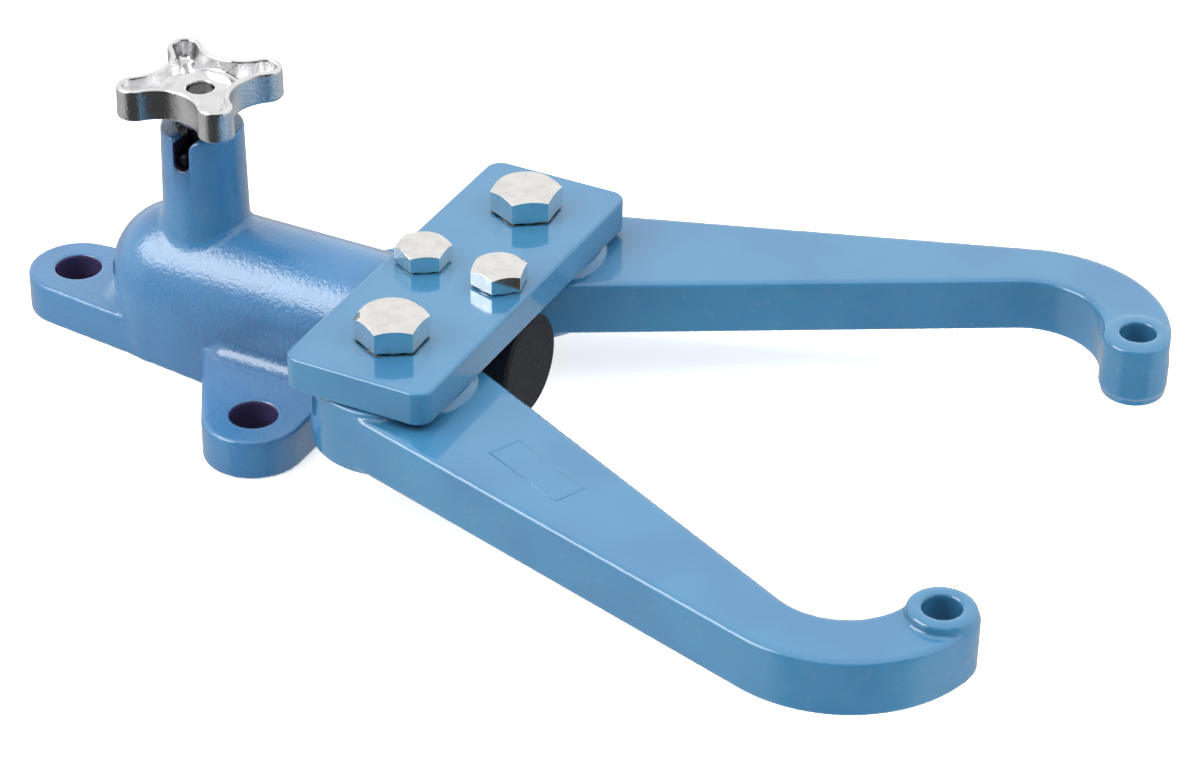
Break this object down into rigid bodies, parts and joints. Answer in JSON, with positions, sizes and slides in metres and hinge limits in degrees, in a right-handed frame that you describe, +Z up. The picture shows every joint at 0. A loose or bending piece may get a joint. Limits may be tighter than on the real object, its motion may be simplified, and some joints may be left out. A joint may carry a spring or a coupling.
{
  "type": "rotating bench fixture with clamping arms",
  "caption": "Bench-mounted rotating holding fixture: an indexed spindle in a cast bracket carries a clamp plate with swivelling hook arms that bolt to the work.",
  "frame": {"origin": "on the bench face, under the lock pin's axis", "axes": "+X forward along the spindle to the arm tips, +Y to the far side, +Z up"},
  "size_m": [0.4363, 0.2838, 0.1178],
  "materials": {
    "blue_paint": "glossy light steel-blue paint over a casting",
    "blackened_steel": "matt blackened turned steel",
    "zinc_plate": "bright zinc-plated steel",
    "chrome": "bright chrome over a slightly grainy casting",
    "bare_steel": "dark oiled steel"
  },
  "bodies": {
    "bracket": {"bench_bracket": "blue_paint", "retaining_screw": "bare_steel", "pin_spring": "bare_steel"},
    "head": {"spindle": "blackened_steel", "clamp_plate": "blue_paint", "pivot_bolt_near": "zinc_plate", "pivot_bolt_far": "zinc_plate", "pivot_washer_near": "zinc_plate", "pivot_washer_far": "zinc_plate", "pivot_nut_near": "zinc_plate", "pivot_nut_far": "zinc_plate", "plate_screw_rear": "zinc_plate", "plate_screw_front": "zinc_plate"},
    "plunger": {"lock_pin": "bare_steel", "cross_pin": "bare_steel", "star_knob": "chrome"},
    "near_arm": {"arm_near": "blue_paint"},
    "far_arm": {"arm_far": "blue_paint"}
  },
  "joints": [
    {"name": "spindle_turn", "type": "hinge", "parent": "bracket", "child": "head", "pos_m": [0.1108, 0, 0.03], "axis": [1, 0, 0], "continuous": true},
    {"name": "lock_pin_pull", "type": "slide", "parent": "bracket", "child": "plunger", "axis": [0, 0, 1], "range_m": [0, 0.0145], "stiffness_N_per_m": 1500, "springref_m": -0.01, "deforming": ["pin_spring"]},
    {"name": "near_arm_swing", "type": "hinge", "parent": "head", "child": "near_arm", "pos_m": [0.1108, -0.0518, 0.0358], "axis": [0, 0, 1], "range_deg": [-55, 18]},
    {"name": "far_arm_swing", "type": "hinge", "parent": "head", "child": "far_arm", "pos_m": [0.1108, 0.0518, 0.0358], "axis": [0, 0, 1], "range_deg": [-18, 55]}
  ]
}
